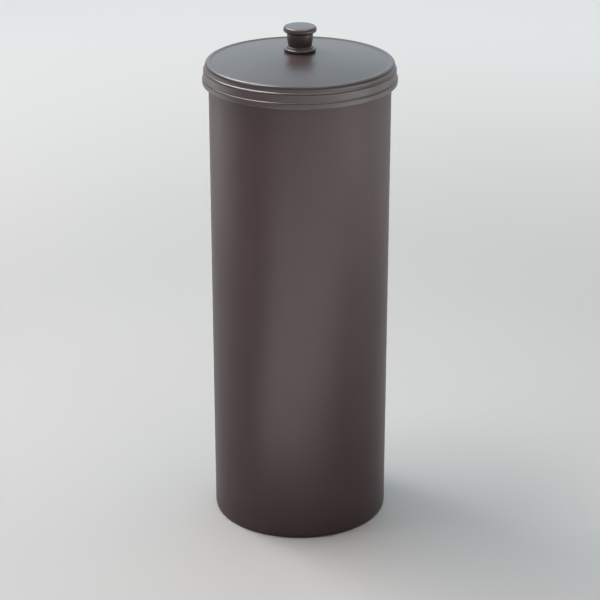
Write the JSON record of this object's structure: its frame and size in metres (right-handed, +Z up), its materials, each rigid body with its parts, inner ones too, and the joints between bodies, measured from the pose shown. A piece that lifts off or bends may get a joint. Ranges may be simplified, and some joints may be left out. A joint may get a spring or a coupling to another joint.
{
  "type": "covered toilet roll canister",
  "caption": "Tall round canister with a slight taper for spare toilet rolls, closed by a domed lift-off lid with a banded skirt and a small screwed-on knob.",
  "frame": {"origin": "centre of the foot ring, on the surface that the canister stands on", "axes": "+Z up along the canister's axis towards the knob; the object is round, so X and Y are free"},
  "size_m": [0.152, 0.152, 0.4085],
  "materials": {
    "canister_plastic": "satin dark bronze, fine moulded grain",
    "lid_plastic": "satin dark bronze, smoother than the canister",
    "knob_lacquer": "semi-gloss dark bronze lacquer",
    "gasket_rubber": "matt black",
    "fixing_steel": "zinc-plated"
  },
  "bodies": {
    "canister": {"canister_body": "canister_plastic"},
    "lid": {"lid_shell": "lid_plastic", "knob": "knob_lacquer", "knob_gasket": "gasket_rubber", "knob_screw": "fixing_steel", "screw_washer": "fixing_steel"}
  },
  "joints": [
    {"name": "lid_lift", "type": "slide", "parent": "canister", "child": "lid", "axis": [0, 0, 1], "range_m": [0, 0.15]}
  ]
}
